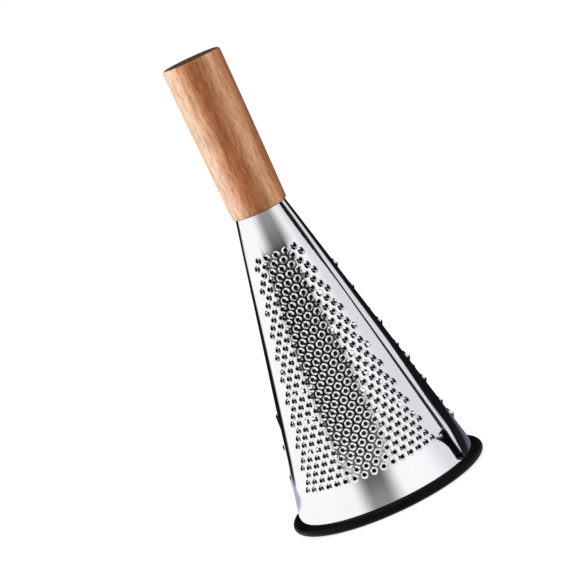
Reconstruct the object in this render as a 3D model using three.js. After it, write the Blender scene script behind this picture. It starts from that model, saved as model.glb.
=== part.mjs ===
import * as THREE from 'three';
import { mergeVertices } from 'three/addons/utils/BufferGeometryUtils.js';

// Cone grater: a turned wooden handle screwed to a rolled and punched steel cone in a rubber foot ring.
// Millimetres, +Z up. The origin is the middle of the foot, on the table. The fine teeth face -Y.
// Azimuths are measured round the cone from the front, growing towards +X.

const TURN = 2 * Math.PI;
const rad = THREE.MathUtils.degToRad;

// Fits between neighbouring pieces
const GAP = 0.3;

// Steel sheet, rolled to a cone
const SHEET = 0.6;
const CONE_TOP_DIAMETER = 27.7;
const CONE_FOOT_DIAMETER = 98.4;
const CONE_HEIGHT = 157.5;
const PLAIN_STEP = rad(10);
const PANEL_INSET = rad(0.5);

// Lap where the two ends of the sheet meet: the end of the coarse side lies over that of the fine
// side, which steps in under it
const LAP_EDGE_AZIMUTH = rad(66);
const LAP_OVERLAP = rad(6.6);
const LAP_STEP = rad(0.4);
const LAP_JOGGLE = rad(5);

// Fields of teeth: where each one lies round the cone, how far it spreads to each side of its middle
// line at its highest and lowest row, and how far those rows keep from the ends of the cone
const FINE = {
  middle: rad(0), topSpread: rad(37.8), footSpread: rad(50.4), topMargin: 21.6, footMargin: 20.8,
  rowStep: 3.71, pitch: 5.2, holeRadius: 0.95, lift: 0.95, tilt: 0.25, holeRise: 0.35, sides: 6,
};
const COARSE = {
  middle: rad(140), topSpread: rad(24), footSpread: rad(38.5), topMargin: 23, footMargin: 20.2,
  rowStep: 7.38, pitch: 11.4, bumpRadius: 3.5, holeRadius: 2.1, lift: 1.1, tilt: 0.85, holeRise: 0.9, sides: 6,
};
const SLICER = {
  middle: rad(-114), topSpread: rad(36), footSpread: rad(42), topMargin: 30, footMargin: 24.4,
  rowStep: 16.1, slotWidth: 22, slotGap: 5, ramp: 7, mouth: 3, lift: 1.8, columns: 4,
};

// Rubber foot ring
const RING_FLOOR = 2;
const RING_HEIGHT = 5.8;
const RING_WIDEST_HEIGHT = 2.7;
const RING_OVERHANG = 3.3;
const RING_LIP = 0.5;
const RING_INNER_WALL = 2.2;
const RING_INNER_HEIGHT = 4.8;
const RING_BOTTOM_ROUND = 4.4;
const RING_STEPS = 54;

// Handle
const HANDLE_LENGTH = 83.2;
const HANDLE_FOOT_DIAMETER = 29.6;
const HANDLE_TOP_DIAMETER = 31.4;
const HANDLE_SWELL = 0.2;
const HANDLE_EDGE = 1.4;
const HANDLE_STEPS = 32;

// Neck plate inside the top of the cone, and the screw and washer that hold the handle on it
const PLATE = 1.2;
const PLATE_FLANGE = 5;
const SCREW_DIAMETER = 4.2;
const SCREW_LENGTH = 36;
const SCREW_POINT = 5;
const SCREW_HEAD_DIAMETER = 8.4;
const SCREW_HEAD_HEIGHT = 3;
const SCREW_HEAD_ROUND = 1.2;
const BORE_SPARE_DEPTH = 3;
const WASHER_DIAMETER = 13;
const WASHER = 1.2;
const PLATE_STEPS = 32;
const SCREW_STEPS = 18;

// Levels that the pieces share
const CONE_FOOT_Z = RING_FLOOR + GAP;
const CONE_TOP_Z = CONE_FOOT_Z + CONE_HEIGHT;

const WOOD = new THREE.MeshStandardMaterial({ color: 0xb07a52, roughness: 0.6, metalness: 0 });
const POLISHED = new THREE.MeshStandardMaterial({ color: 0xc9cacd, roughness: 0.15, metalness: 1 });
const ZINC = new THREE.MeshStandardMaterial({ color: 0xb4b6b8, roughness: 0.4, metalness: 1 });
const RUBBER = new THREE.MeshStandardMaterial({ color: 0x17171b, roughness: 0.7, metalness: 0 });

function coneRadius(z) {
  const share = (z - CONE_FOOT_Z) / CONE_HEIGHT;
  return THREE.MathUtils.lerp(CONE_FOOT_DIAMETER, CONE_TOP_DIAMETER, share) / 2;
}

// The sheet as it lies on the cone: places on its outer face and the triangles between them. A place
// stands off the cone by its lift. The back face lies one sheet further in, and where the two faces
// meet in a cutting edge the place has one point for both.
class RolledSheet {
  constructor() {
    this.places = [];
    this.faces = [];
    this.known = new Map();
  }

  place(azimuth, z, lift = 0, back = lift - SHEET) {
    const turned = THREE.MathUtils.euclideanModulo(azimuth, TURN);
    const key = `${turned.toFixed(6)} ${z.toFixed(4)}`;
    if (!this.known.has(key)) {
      this.known.set(key, this.places.length);
      this.places.push({ azimuth, z, lift, back });
    }
    return this.known.get(key);
  }

  // Sheet between two rows of places that run the same way
  zip(lower, upper, along, flip = false) {
    const at = (row, i) => this.places[row[i]][along];
    const middle = (row, i) => (i + 1 < row.length ? at(row, i) + at(row, i + 1) : Infinity);
    let i = 0;
    let j = 0;
    while (i + 1 < lower.length || j + 1 < upper.length) {
      const face = [lower[i], 0, upper[j]];
      if (middle(lower, i) <= middle(upper, j)) {
        i += 1;
        face[1] = lower[i];
      } else {
        j += 1;
        face[1] = upper[j];
      }
      this.faces.push(flip ? face.reverse() : face);
    }
  }

  // Sheet between two closed loops of places, one round the other, both starting at the same side
  bridge(outer, inner) {
    let i = 0;
    let j = 0;
    while (i < outer.length || j < inner.length) {
      const face = [outer[i % outer.length], 0, inner[j % inner.length]];
      if ((i + 0.5) / outer.length <= (j + 0.5) / inner.length) {
        i += 1;
        face[1] = outer[i % outer.length];
      } else {
        j += 1;
        face[1] = inner[j % inner.length];
      }
      this.faces.push(face);
    }
  }

  // Takes out the two triangles beside the edge from one place to the next along a row, and gives the
  // four corners of the cell that they leave, from its left corner round by the lower one
  openCell(left, right) {
    const corners = [left, 0, right, 0];
    this.faces = this.faces.filter((face) => {
      const k = face.indexOf(left);
      if (k < 0 || !face.includes(right)) {
        return true;
      }
      const above = face[(k + 1) % 3] === right;
      const apex = face.find((place) => place !== left && place !== right);
      corners[above ? 3 : 1] = apex;
      return false;
    });
    return corners;
  }

  // The closed solid: outer faces, back faces turned round, and the cut edges between them
  solid() {
    const points = this.places.map(({ azimuth, z, lift }) => this.point(azimuth, z, lift));
    const backs = this.places.map(({ azimuth, z, lift, back }, i) => {
      if (back === lift) {
        return i;
      }
      return points.push(this.point(azimuth, z, back)) - 1;
    });
    const triangles = [];
    const edges = new Set(this.faces.flatMap(([a, b, c]) => [`${a} ${b}`, `${b} ${c}`, `${c} ${a}`]));
    const keep = (a, b, c) => {
      if (a !== b && b !== c && c !== a) {
        triangles.push(a, b, c);
      }
    };
    for (const [a, b, c] of this.faces) {
      keep(a, b, c);
      keep(backs[c], backs[b], backs[a]);
      for (const [from, to] of [[a, b], [b, c], [c, a]]) {
        if (!edges.has(`${to} ${from}`)) {
          keep(to, from, backs[from]);
          keep(to, backs[from], backs[to]);
        }
      }
    }
    const geometry = new THREE.BufferGeometry().setFromPoints(points);
    geometry.setIndex(triangles);
    return geometry;
  }

  point(azimuth, z, lift) {
    const radius = coneRadius(z) + lift;
    return new THREE.Vector3(radius * Math.sin(azimuth), -radius * Math.cos(azimuth), z);
  }
}

const sheet = new RolledSheet();

// Azimuths from one to another, both included, in equal steps no longer than the plain step
function plainAzimuths(from, to) {
  const steps = Math.max(1, Math.ceil((to - from) / PLAIN_STEP));
  return Array.from({ length: steps + 1 }, (_, i) => THREE.MathUtils.lerp(from, to, i / steps));
}

function plainRow(left, right, z) {
  return plainAzimuths(left, right).map((azimuth) => sheet.place(azimuth, z));
}

// A row across a panel through the given places: plain sheet runs up to them from both sides
function rowThrough(left, right, z, inside) {
  if (inside.length === 0) {
    return plainRow(left, right, z);
  }
  const first = sheet.places[inside[0]].azimuth;
  const last = sheet.places[inside.at(-1)].azimuth;
  const before = plainAzimuths(left, first).slice(0, -1).map((azimuth) => sheet.place(azimuth, z));
  const after = plainAzimuths(last, right).slice(1).map((azimuth) => sheet.place(azimuth, z));
  return [...before, ...inside, ...after];
}

// Heights of the rows of a field, from its lowest row up, and half its width at a height
function rowHeights(field) {
  const top = CONE_TOP_Z - field.topMargin;
  const foot = CONE_FOOT_Z + field.footMargin;
  const count = Math.floor((top - foot) / field.rowStep) + 1;
  return Array.from({ length: count }, (_, k) => foot + k * field.rowStep);
}

function halfWidth(field, z) {
  const top = CONE_TOP_Z - field.topMargin;
  const foot = CONE_FOOT_Z + field.footMargin;
  const share = (z - foot) / (top - foot);
  return THREE.MathUtils.lerp(field.footSpread * coneRadius(foot), field.topSpread * coneRadius(top), share);
}

// Middles of the teeth in a row, as lengths round the cone from the middle line of the field. Rows
// are staggered by half a pitch.
function toothOffsets(field, k, z) {
  const shift = k % 2 === 0 ? 0.5 : 0;
  const reach = halfWidth(field, z) / field.pitch;
  const first = Math.ceil(-reach - shift);
  const last = Math.floor(reach - shift);
  return Array.from({ length: last - first + 1 }, (_, i) => (first + i + shift) * field.pitch);
}

// A loop of places round the middle of a tooth, from its left side round by its lower side
function toothLoop(field, azimuth, z, radius, lift, tilt, keen) {
  return Array.from({ length: field.sides }, (_, k) => {
    const angle = Math.PI + (TURN * k) / field.sides;
    const height = z + radius * Math.sin(angle);
    const across = (radius * Math.cos(angle)) / coneRadius(height);
    const raised = lift * (1 - tilt * Math.sin(angle));
    return sheet.place(azimuth + across, height, raised, keen ? raised : undefined);
  });
}

// A raised tooth with a hole: the sheet swells from its cell up to a torn cutting edge that stands
// highest on the lower side, so that the hole faces the handle
function raiseTooth(field, tooth) {
  const corners = sheet.openCell(tooth.left, tooth.right);
  const { azimuth, z } = tooth;
  const rim = toothLoop(field, azimuth, z + field.holeRise, field.holeRadius, field.lift, field.tilt, true);
  if (field.bumpRadius === undefined) {
    sheet.bridge(corners, rim);
    return;
  }
  const foot = toothLoop(field, azimuth, z, field.bumpRadius, 0, 0, false);
  sheet.bridge(corners, foot);
  sheet.bridge(foot, rim);
}

// Joins a stack of rows into a panel, and gives its two sides from the foot up
function joinRows(rows) {
  for (let k = 0; k + 1 < rows.length; k += 1) {
    sheet.zip(rows[k], rows[k + 1], 'azimuth');
  }
  return { left: rows.map((row) => row[0]), right: rows.map((row) => row.at(-1)) };
}

// A panel of the cone with a staggered field of raised teeth
function toothedPanel(field, left, right) {
  const teeth = [];
  const rows = rowHeights(field).map((z, k) => {
    const radius = coneRadius(z);
    const offsets = toothOffsets(field, k, z);
    const ends = [offsets[0] - field.pitch / 2, ...offsets.map((offset) => offset + field.pitch / 2)];
    const places = ends.map((end) => sheet.place(field.middle + end / radius, z));
    offsets.forEach((offset, i) => {
      teeth.push({ azimuth: field.middle + offset / radius, z, left: places[i], right: places[i + 1] });
    });
    return rowThrough(left, right, z, places);
  });
  const foot = plainRow(left, right, CONE_FOOT_Z);
  const top = plainRow(left, right, CONE_TOP_Z);
  const sides = joinRows([foot, ...rows, top]);
  teeth.forEach((tooth) => raiseTooth(field, tooth));
  return sides;
}

// Places across the slots of one row, each slot raised in an arch by the given lift
function slotPlaces(field, starts, z, lift) {
  return starts.map((start) => Array.from({ length: field.columns + 1 }, (_, i) => {
    const share = i / field.columns;
    const azimuth = field.middle + (start + share * field.slotWidth) / coneRadius(z);
    return sheet.place(azimuth, z, lift * Math.sin(Math.PI * share));
  }));
}

// A panel of the cone with slicing slots: below each open mouth the sheet rises to a blade that
// faces the handle. Wide rows hold two slots, narrow ones a single slot.
function slottedPanel(field, left, right) {
  const rows = [plainRow(left, right, CONE_FOOT_Z)];
  const mouths = [];
  for (const z of rowHeights(field)) {
    const count = Math.max(1, Math.floor((2 * halfWidth(field, z) + field.slotGap) / (field.slotWidth + field.slotGap)));
    const span = count * field.slotWidth + (count - 1) * field.slotGap;
    const starts = Array.from({ length: count }, (_, i) => i * (field.slotWidth + field.slotGap) - span / 2);
    const blades = slotPlaces(field, starts, z, field.lift);
    const brows = slotPlaces(field, starts, z + field.mouth, 0);
    rows.push(plainRow(left, right, z - field.ramp));
    rows.push(rowThrough(left, right, z, blades.flat()));
    rows.push(rowThrough(left, right, z + field.mouth, brows.flat()));
    blades.forEach((blade, i) => mouths.push(new Set([...blade, ...brows[i]])));
  }
  rows.push(plainRow(left, right, CONE_TOP_Z));
  const sides = joinRows(rows);
  sheet.faces = sheet.faces.filter((face) => !mouths.some((mouth) => face.every((place) => mouth.has(place))));
  return sides;
}

// A line from the foot of the cone to its top at one azimuth
function standingLine(azimuth, lift = 0, back = lift - SHEET) {
  return [CONE_FOOT_Z, CONE_TOP_Z].map((z) => sheet.place(azimuth, z, lift, back));
}

// The sheet has its ends lapped between the fine and the coarse field, and the three fields share
// the rest of the way round
function gratingCone() {
  const lapFoot = LAP_EDGE_AZIMUTH - LAP_STEP;
  const lapStart = lapFoot - LAP_JOGGLE;
  const lapEnd = LAP_EDGE_AZIMUTH + LAP_OVERLAP;
  const lapLines = [
    standingLine(lapStart),
    standingLine(lapFoot, -SHEET),
    standingLine(LAP_EDGE_AZIMUTH, 0, -2 * SHEET),
    standingLine(lapEnd, 0, -2 * SHEET),
    standingLine(lapEnd + LAP_STEP),
  ];
  const fineSlicer = (FINE.middle - FINE.footSpread + SLICER.middle + SLICER.footSpread) / 2;
  const slicerCoarse = (SLICER.middle - SLICER.footSpread + COARSE.middle + COARSE.footSpread - TURN) / 2;
  const fine = toothedPanel(FINE, fineSlicer + PANEL_INSET, lapStart - PANEL_INSET);
  const coarse = toothedPanel(COARSE, lapEnd + LAP_STEP + PANEL_INSET, slicerCoarse + TURN - PANEL_INSET);
  const slicer = slottedPanel(SLICER, slicerCoarse + PANEL_INSET, fineSlicer - PANEL_INSET);
  const standing = [fine.right, ...lapLines, coarse.left];
  for (let k = 0; k + 1 < standing.length; k += 1) {
    sheet.zip(standing[k], standing[k + 1], 'z', true);
  }
  sheet.zip(coarse.right, slicer.left, 'z', true);
  sheet.zip(slicer.right, fine.left, 'z', true);
  return sheet.solid();
}

// A body turned round the +Z axis from points of radius and height, listed from the foot outwards
// and up, so that its faces point out
function turned(profile, steps) {
  const geometry = new THREE.LatheGeometry(profile, steps);
  geometry.rotateX(Math.PI / 2);
  geometry.deleteAttribute('normal');
  geometry.deleteAttribute('uv');
  return mergeVertices(geometry);
}

const point = (radius, z) => new THREE.Vector2(radius, z);

// Points of a rounded edge: a curve from one point to another, drawn towards their common corner
function rounded(from, corner, to, steps) {
  return new THREE.QuadraticBezierCurve(from, corner, to).getPoints(steps);
}

function footRing() {
  const groove = { outer: GAP, inner: -2 * SHEET - GAP };
  const wall = (z, offset) => coneRadius(z) + offset;
  const outerRadius = wall(RING_FLOOR, groove.outer) + RING_OVERHANG;
  const innerRadius = wall(RING_INNER_HEIGHT, groove.inner) - RING_INNER_WALL;
  const lipRadius = wall(RING_HEIGHT, groove.outer) + RING_LIP;
  const widest = point(outerRadius, RING_WIDEST_HEIGHT);
  const profile = [
    point(innerRadius, 0),
    ...rounded(point(outerRadius - RING_BOTTOM_ROUND, 0), point(outerRadius, 0), widest, 4),
    ...rounded(widest, point(outerRadius, RING_HEIGHT), point(lipRadius, RING_HEIGHT), 4).slice(1),
    point(wall(RING_HEIGHT, groove.outer), RING_HEIGHT),
    point(wall(RING_FLOOR, groove.outer), RING_FLOOR),
    point(wall(RING_FLOOR, groove.inner), RING_FLOOR),
    point(wall(RING_INNER_HEIGHT, groove.inner), RING_INNER_HEIGHT),
    point(innerRadius, RING_INNER_HEIGHT),
    point(innerRadius, 0),
  ];
  return turned(profile, RING_STEPS);
}

// The handle stands on the rim of the cone, thicker towards its top, with a blind bore for the screw
function handle() {
  const foot = CONE_TOP_Z;
  const top = foot + HANDLE_LENGTH;
  const footRadius = HANDLE_FOOT_DIAMETER / 2;
  const topRadius = HANDLE_TOP_DIAMETER / 2;
  const middle = point((footRadius + topRadius) / 2 + HANDLE_SWELL, (foot + top) / 2);
  const boreRadius = SCREW_DIAMETER / 2 + GAP;
  const boreTop = foot - PLATE - WASHER + SCREW_LENGTH + BORE_SPARE_DEPTH;
  const side = new THREE.SplineCurve([
    point(footRadius, foot + HANDLE_EDGE),
    middle,
    point(topRadius, top - HANDLE_EDGE),
  ]);
  const profile = [
    point(0, boreTop),
    point(boreRadius, boreTop - boreRadius),
    point(boreRadius, foot),
    ...rounded(point(footRadius - HANDLE_EDGE, foot), point(footRadius, foot), side.getPoint(0), 3),
    ...side.getPoints(4).slice(1),
    ...rounded(side.getPoint(1), point(topRadius, top), point(topRadius - HANDLE_EDGE, top), 3).slice(1),
    point(0, top),
  ];
  return turned(profile, HANDLE_STEPS);
}

// A pressed cup inside the top of the cone, clear of the lapped ends of the sheet
function neckPlate() {
  const fit = (z) => coneRadius(z) - 2 * SHEET - GAP;
  const flangeFoot = CONE_TOP_Z - PLATE_FLANGE;
  const holeRadius = SCREW_DIAMETER / 2 + GAP;
  const under = CONE_TOP_Z - PLATE;
  const profile = [
    point(holeRadius, under),
    point(fit(under) - PLATE, under),
    point(fit(flangeFoot) - PLATE, flangeFoot),
    point(fit(flangeFoot), flangeFoot),
    point(fit(CONE_TOP_Z), CONE_TOP_Z),
    point(holeRadius, CONE_TOP_Z),
    point(holeRadius, under),
  ];
  return turned(profile, PLATE_STEPS);
}

function washer() {
  const top = CONE_TOP_Z - PLATE;
  const holeRadius = SCREW_DIAMETER / 2 + GAP;
  const profile = [
    point(holeRadius, top - WASHER),
    point(WASHER_DIAMETER / 2, top - WASHER),
    point(WASHER_DIAMETER / 2, top),
    point(holeRadius, top),
    point(holeRadius, top - WASHER),
  ];
  return turned(profile, SCREW_STEPS);
}

// A round-headed wood screw, driven up through the washer and the plate into the handle
function handleScrew() {
  const seat = CONE_TOP_Z - PLATE - WASHER;
  const tip = seat + SCREW_LENGTH;
  const headRadius = SCREW_HEAD_DIAMETER / 2;
  const headFoot = seat - SCREW_HEAD_HEIGHT;
  const shoulder = point(headRadius, headFoot + SCREW_HEAD_ROUND);
  const crown = point(headRadius - SCREW_HEAD_ROUND, headFoot);
  const profile = [
    point(0, headFoot),
    ...rounded(crown, point(headRadius, headFoot), shoulder, 3),
    point(headRadius, seat),
    point(SCREW_DIAMETER / 2, seat),
    point(SCREW_DIAMETER / 2, tip - SCREW_POINT),
    point(0, tip),
  ];
  return turned(profile, SCREW_STEPS);
}

const grater = new THREE.Group();

function addPiece(name, geometry, material) {
  const piece = new THREE.Mesh(geometry, material);
  piece.name = name;
  grater.add(piece);
}

addPiece('grating_cone', gratingCone(), POLISHED);
addPiece('foot_ring', footRing(), RUBBER);
addPiece('handle', handle(), WOOD);
addPiece('neck_plate', neckPlate(), POLISHED);
addPiece('washer', washer(), ZINC);
addPiece('handle_screw', handleScrew(), ZINC);

export default grater;
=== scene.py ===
# %% [markdown]
# # A cone grater, punched flat and rolled
# The grater has three pieces that show: a rolled steel cone with punched teeth, a rubber ring that
# the cone stands in and a turned wooden handle. A plate, a washer and a screw inside the cone hold the
# handle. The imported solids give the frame: every piece here stands where its solid stands.

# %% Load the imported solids
import math

import bmesh
import bpy
from mathutils import Matrix, Vector
from mathutils.kdtree import KDTree


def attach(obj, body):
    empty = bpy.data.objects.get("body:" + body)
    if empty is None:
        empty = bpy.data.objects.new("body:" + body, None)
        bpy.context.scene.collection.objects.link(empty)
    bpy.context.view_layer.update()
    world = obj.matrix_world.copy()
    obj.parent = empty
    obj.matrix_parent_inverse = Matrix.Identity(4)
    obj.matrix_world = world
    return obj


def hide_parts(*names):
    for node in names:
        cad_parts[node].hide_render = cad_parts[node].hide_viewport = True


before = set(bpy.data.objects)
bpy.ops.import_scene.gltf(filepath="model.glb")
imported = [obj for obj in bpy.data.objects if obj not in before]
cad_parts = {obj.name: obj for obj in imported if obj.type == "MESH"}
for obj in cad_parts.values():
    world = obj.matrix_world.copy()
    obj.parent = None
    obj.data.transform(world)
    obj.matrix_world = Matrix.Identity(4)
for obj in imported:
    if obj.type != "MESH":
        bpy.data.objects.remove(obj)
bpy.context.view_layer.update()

MM = 0.001
print("solids:", sorted(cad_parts))

# %% [markdown]
# The camera stands about 1.4 m off, a little to the right of the middle of the fine teeth, and looks
# slightly down. It is rolled by 25 degrees, so the grater leans in the picture while it stands upright
# on the floor. The numbers come from the ellipses of the ring and of the handle's ends, so nothing is
# shifted and the other views work as well.

# %% The camera
CAMERA_AZIMUTH = math.radians(7.4)
CAMERA_REACH = 1.4047
CAMERA_HEIGHT = 0.3439
CAMERA_TILT = math.radians(9.16)
CAMERA_PAN = math.radians(0.16)
CAMERA_ROLL = math.radians(24.887)
FOCAL_PIXELS = 2813.1
IMAGE_PIXELS = 576

camera_data = bpy.data.cameras.new("camera")
camera_data.sensor_fit = "HORIZONTAL"
camera_data.lens = FOCAL_PIXELS / IMAGE_PIXELS * camera_data.sensor_width
camera = bpy.data.objects.new("camera", camera_data)
camera_stand = Matrix.Translation((
    CAMERA_REACH * math.sin(CAMERA_AZIMUTH),
    -CAMERA_REACH * math.cos(CAMERA_AZIMUTH),
    CAMERA_HEIGHT,
))
camera_turn = (
    Matrix.Rotation(CAMERA_AZIMUTH + CAMERA_PAN, 4, "Z")
    @ Matrix.Rotation(math.pi / 2 - CAMERA_TILT, 4, "X")
    @ Matrix.Rotation(-CAMERA_ROLL, 4, "Z")
)
camera.matrix_world = camera_stand @ camera_turn
bpy.context.scene.collection.objects.link(camera)
bpy.context.scene.camera = camera
bpy.context.scene.view_settings.view_transform = "Standard"
print("lens in mm:", round(camera_data.lens, 1))

# %% [markdown]
# Every finish below is a small network of nodes. One helper adds a node, sets its options and fills or
# links its inputs, so that a network reads from top to bottom like a recipe.

# %% A helper for nodes
def add(tree, kind, inputs=None, **options):
    node = tree.nodes.new(kind)
    for name, value in options.items():
        setattr(node, name, value)
    for name, value in (inputs or {}).items():
        if isinstance(value, bpy.types.NodeSocket):
            tree.links.new(value, node.inputs[name])
        else:
            node.inputs[name].default_value = value
    return node


def maths(tree, operation, first, second=0.0, third=0.0):
    values = {0: first, 1: second, 2: third}
    return add(tree, "ShaderNodeMath", values, operation=operation).outputs[0]


def between(tree, value, low, high, out_low=0.0, out_high=1.0, curve="SMOOTHSTEP"):
    """A step, soft as a rule: out_low up to low, out_high from high on."""
    inputs = {"Value": value, "From Min": low, "From Max": high, "To Min": out_low, "To Max": out_high}
    return add(tree, "ShaderNodeMapRange", inputs, interpolation_type=curve).outputs[0]


def blend(tree, share, first, second, mode="MIX"):
    node = add(tree, "ShaderNodeMix", data_type="RGBA", blend_type=mode)
    for socket, value in ((node.inputs[0], share), (node.inputs[6], first), (node.inputs[7], second)):
        if isinstance(value, bpy.types.NodeSocket):
            tree.links.new(value, socket)
        else:
            socket.default_value = value
    return node.outputs[2]


def ramp(tree, value, stops):
    node = add(tree, "ShaderNodeValToRGB", {0: value})
    points = node.color_ramp.elements
    while len(points) < len(stops):
        points.new(0.5)
    for point, (place, colour) in zip(points, stops):
        point.position = place
        point.color = (*colour, 1.0)
    return node.outputs[0]


print("helpers for nodes ready")

# %% [markdown]
# Polished steel has hardly a colour of its own: it shows the studio round it. This studio is a white
# tent with a black gap in front, and it is dark behind the grater. It could be built from cards and
# boxes. Here the world's colour makes it from the direction of the mirrored ray, which gives soft
# borders without noise. First the direction becomes two angles, one sideways and one up.

# %% The studio's directions
STUDIO_TURN = math.radians(7.4)
DEGREES = 180 / math.pi
LEVEL_BOW = 0.421

world = bpy.data.worlds.new("studio")
world.use_nodes = True
bpy.context.scene.world = world
studio = world.node_tree
studio.nodes.clear()

direction = add(studio, "ShaderNodeTexCoord").outputs["Generated"]
facing = add(
    studio,
    "ShaderNodeVectorRotate",
    {"Vector": direction, "Angle": -STUDIO_TURN},
    rotation_type="Z_AXIS",
).outputs[0]
parts = add(studio, "ShaderNodeSeparateXYZ", {0: facing}).outputs
forward = maths(studio, "MULTIPLY", parts["Y"], -1.0)
side_angle = maths(studio, "MULTIPLY", maths(studio, "ARCTAN2", parts["X"], forward), DEGREES)
height_angle = maths(studio, "MULTIPLY", maths(studio, "ARCSINE", parts["Z"]), DEGREES)

# On the round cone a level line of the studio shows as a bow. The sheet's level takes the bow out
half_cosine = maths(studio, "COSINE", maths(studio, "MULTIPLY", side_angle, 0.5 / DEGREES))
bow = maths(studio, "MULTIPLY", maths(studio, "SUBTRACT", 1.0, half_cosine), LEVEL_BOW)
straight = maths(studio, "MINIMUM", maths(studio, "ADD", parts["Z"], bow), 1.0)
sheet_level = maths(studio, "MULTIPLY", maths(studio, "ARCSINE", straight), DEGREES)
print("nodes for the directions:", len(studio.nodes))

# %% [markdown]
# In front of a mirror stands what looks into it, so a studio leaves a gap there. It gives the black
# between the middle teeth. Two grey bars cross it and give the plain margins of the sheet, below and
# above the teeth, their soft grey. The gap ends under the ceiling. Angles are in degrees, and shades go
# from 0, which is black, to 1, which is white.

# %% The gap in front
GAP_MIDDLE, GAP_SOFT = -14.0, 5.0
GAP_BLACK = 0.008


def off(value, middle):
    return maths(studio, "ABSOLUTE", maths(studio, "SUBTRACT", value, middle))


def bar(low_start, low_end, high_start, high_end):
    rise = between(studio, sheet_level, low_start, low_end)
    return maths(studio, "MULTIPLY", rise, between(studio, sheet_level, high_start, high_end, 1.0, 0.0))


def swayed(share, first, second):
    return maths(studio, "MULTIPLY_ADD", share, maths(studio, "SUBTRACT", second, first), first)


gap_half = between(studio, sheet_level, 12.2, 14.8, 35.0, 45.0)
past_gap = maths(studio, "SUBTRACT", off(side_angle, GAP_MIDDLE), gap_half)
gap = between(studio, past_gap, -GAP_SOFT, GAP_SOFT, 1.0, 0.0)
low_bar = bar(9.0, 9.6, 12.2, 12.45)
low_shade = between(studio, sheet_level, 10.2, 12.3, 0.29, 0.11)
low_gap = between(studio, off(side_angle, -13.0), 8.0, 34.0, 1.0, 0.0)
high_bar = bar(16.9, 17.15, 19.5, 20.2)
high_shade = between(studio, sheet_level, 17.1, 18.9, 0.15, 0.31)
high_gap = between(studio, off(side_angle, 7.0), 14.0, 64.0, 1.0, 0.0)
gap = swayed(low_bar, gap, low_gap)
gap = swayed(high_bar, gap, high_gap)
gap = maths(studio, "MULTIPLY", gap, between(studio, height_angle, 56.0, 68.0, 1.0, 0.0))
gap_shade = maths(studio, "ADD", maths(studio, "MULTIPLY", low_bar, low_shade), GAP_BLACK)
gap_shade = maths(studio, "MULTIPLY_ADD", high_bar, high_shade, gap_shade)
tent_front = maths(studio, "MULTIPLY_ADD", gap, maths(studio, "SUBTRACT", gap_shade, 1.0), 1.0)
print("nodes with the gap:", len(studio.nodes))

# %% [markdown]
# Towards its two edges the cone shows what is behind it. The dark there draws the black lines along
# both sides of the real grater. It begins further round near the floor than higher up, and the white
# ceiling ends it. An edge of 0 lies straight to the side, and an edge of 1 straight back.

# %% The dark behind
left_edge = between(studio, height_angle, 0.8, 2.8, 0.73, 0.65)
low_edge = swayed(between(studio, parts["X"], -0.2, 0.2), left_edge, 0.66)
back_edge = swayed(between(studio, height_angle, 10.0, 36.0), low_edge, 0.08)
back_past = maths(studio, "SUBTRACT", parts["Y"], back_edge)
back = between(studio, back_past, -0.03, 0.06, 0.0, 0.99)
back = maths(studio, "MULTIPLY", back, between(studio, height_angle, 62.0, 68.0, 1.0, 0.0))
tent = maths(studio, "MULTIPLY", tent_front, maths(studio, "SUBTRACT", 1.0, back))
print("nodes with the dark behind:", len(studio.nodes))

# %% [markdown]
# Three kinds of ray ask for the studio's colour. Rays from the camera see plain white, which makes the
# background. Rays that light the rubber and the wood see an even grey, under which a colour comes out
# about as it is written. Only mirrored rays see the tent, whose right wall is a little greyer.

# %% The studio's light
LEFT_WALL = (1.06, 1.06, 1.07, 1.0)
RIGHT_WALL = (0.79, 0.79, 0.83, 1.0)
BLACK, WHITE = (0.0, 0.0, 0.0, 1.0), (1.0, 1.0, 1.0, 1.0)
FILL_LIGHT = (0.62, 0.62, 0.62, 1.0)

rays = add(studio, "ShaderNodeLightPath").outputs
on_right = between(studio, parts["X"], -0.1, 0.6)
on_right = maths(studio, "MULTIPLY", on_right, between(studio, parts["Y"], -0.6, 0.0))
tent_colour = blend(studio, tent, BLACK, blend(studio, on_right, LEFT_WALL, RIGHT_WALL))
seen = maths(studio, "MAXIMUM", rays["Is Camera Ray"], rays["Is Transmission Ray"])
indirect = blend(studio, rays["Is Glossy Ray"], FILL_LIGHT, tent_colour)
shown = blend(studio, seen, indirect, WHITE)
sky = add(studio, "ShaderNodeBackground", {"Color": shown, "Strength": 1.0})
add(studio, "ShaderNodeOutputWorld", {"Surface": sky.outputs[0]})
print("world:", world.name, "nodes:", len(studio.nodes))

# %% [markdown]
# The floor is one plain sheet that the grater stands on. It isn't a piece of the grater.

# %% The floor's sheet
FLOOR_HALF = 3.0

floor_bm = bmesh.new()
bmesh.ops.create_grid(floor_bm, x_segments=4, y_segments=4, size=FLOOR_HALF)
floor_mesh = bpy.data.meshes.new("floor")
floor_bm.to_mesh(floor_mesh)
floor_bm.free()
floor = bpy.data.objects.new("floor", floor_mesh)
bpy.context.scene.collection.objects.link(floor)
print("floor:", FLOOR_HALF * 2, "m wide")

# %% [markdown]
# In the steel the floor shows as it does in a studio: white round the grater, lilac on the left and
# violet on the right close behind it, and dark further off. It could be made of coloured cards. A
# pattern on the floor's own coordinates is easier to fit. Lengths are in metres, and edges are written
# as for the dark behind.

# %% The floor behind, as the steel sees it
LILAC = (0.46, 0.46, 0.64, 1.0)
VIOLET = (0.14, 0.135, 0.19, 1.0)
DEEP_VIOLET = (0.012, 0.012, 0.016, 1.0)
LEFT_EDGE = 0.74

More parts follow.
